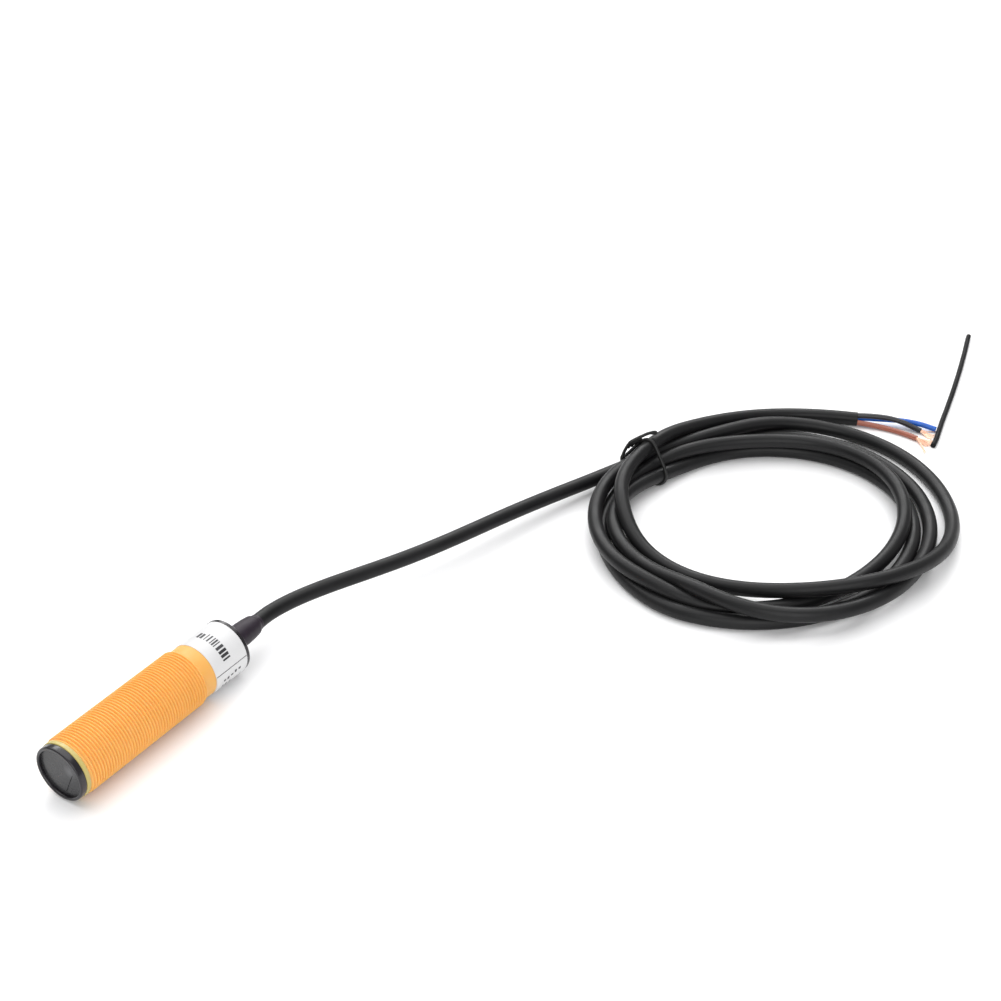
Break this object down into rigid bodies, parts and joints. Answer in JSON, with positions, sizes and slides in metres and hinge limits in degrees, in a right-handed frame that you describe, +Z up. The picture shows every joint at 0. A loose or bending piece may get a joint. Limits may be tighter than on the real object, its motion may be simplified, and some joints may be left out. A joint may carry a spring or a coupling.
{
  "type": "cylindrical photoelectric sensor",
  "caption": "Photoelectric sensor in a yellow M18 threaded barrel, with a black sensing face, a rear label and a coiled, tied black cable ending in stripped cores.",
  "frame": {"origin": "on the surface that the sensor lies on, under the middle of the sensor body (front rim to the end of the strain relief)", "axes": "+Z up; +Y along the sensor's axis from the sensing face towards the cable; +X to the right seen from the sensing face's side looking along +Y"},
  "size_m": [0.17, 0.3797, 0.018],
  "materials": {
    "barrel": "satin",
    "bezel": "gloss",
    "window": "satin",
    "seal": "matte",
    "holder": "matte",
    "lens": "gloss",
    "led_package": "gloss",
    "chip_package": "matte",
    "board": "satin",
    "capacitor": "satin",
    "trimmer_case": "satin",
    "brass_part": "satin",
    "indicator": "gloss",
    "relief": "satin",
    "jacket": "satin",
    "label": "satin",
    "core_brown": "satin",
    "core_black": "satin",
    "core_blue": "satin",
    "copper": "bare copper, fine strands",
    "tie": "satin"
  },
  "bodies": {
    "sensor": {"threaded_barrel": "barrel", "front_bezel": "bezel", "filter_window": "window", "window_gasket": "seal", "optics_holder": "holder", "optical_septum": "holder", "emitter_lens": "lens", "receiver_lens": "lens", "emitter_led": "led_package", "receiver_diode": "chip_package", "circuit_board": "board", "control_chip": "chip_package", "output_transistor": "chip_package", "regulator": "chip_package", "resistor_set": "chip_package", "capacitor_set": "capacitor", "trimmer_body": "trimmer_case", "indicator_led": "indicator", "rear_cap": "bezel", "rear_seal": "seal", "strain_relief": "relief", "cable_entry": "jacket", "solder_leads": "copper", "wrap_label": "label", "cable_lead": "jacket", "cable_coil": "jacket", "cable_tail": "jacket", "core_brown": "core_brown", "core_black": "core_black", "core_blue": "core_blue", "strands_brown": "copper", "strands_black": "copper", "loose_sleeve": "core_black", "twist_tie": "tie"},
    "trimmer": {"trimmer_rotor": "brass_part"}
  },
  "joints": [
    {"name": "trimmer_turn", "type": "hinge", "parent": "sensor", "child": "trimmer", "pos_m": [0.0049, 0, 0.009], "axis": [0, 1, 0], "range_deg": [-120, 120]}
  ]
}
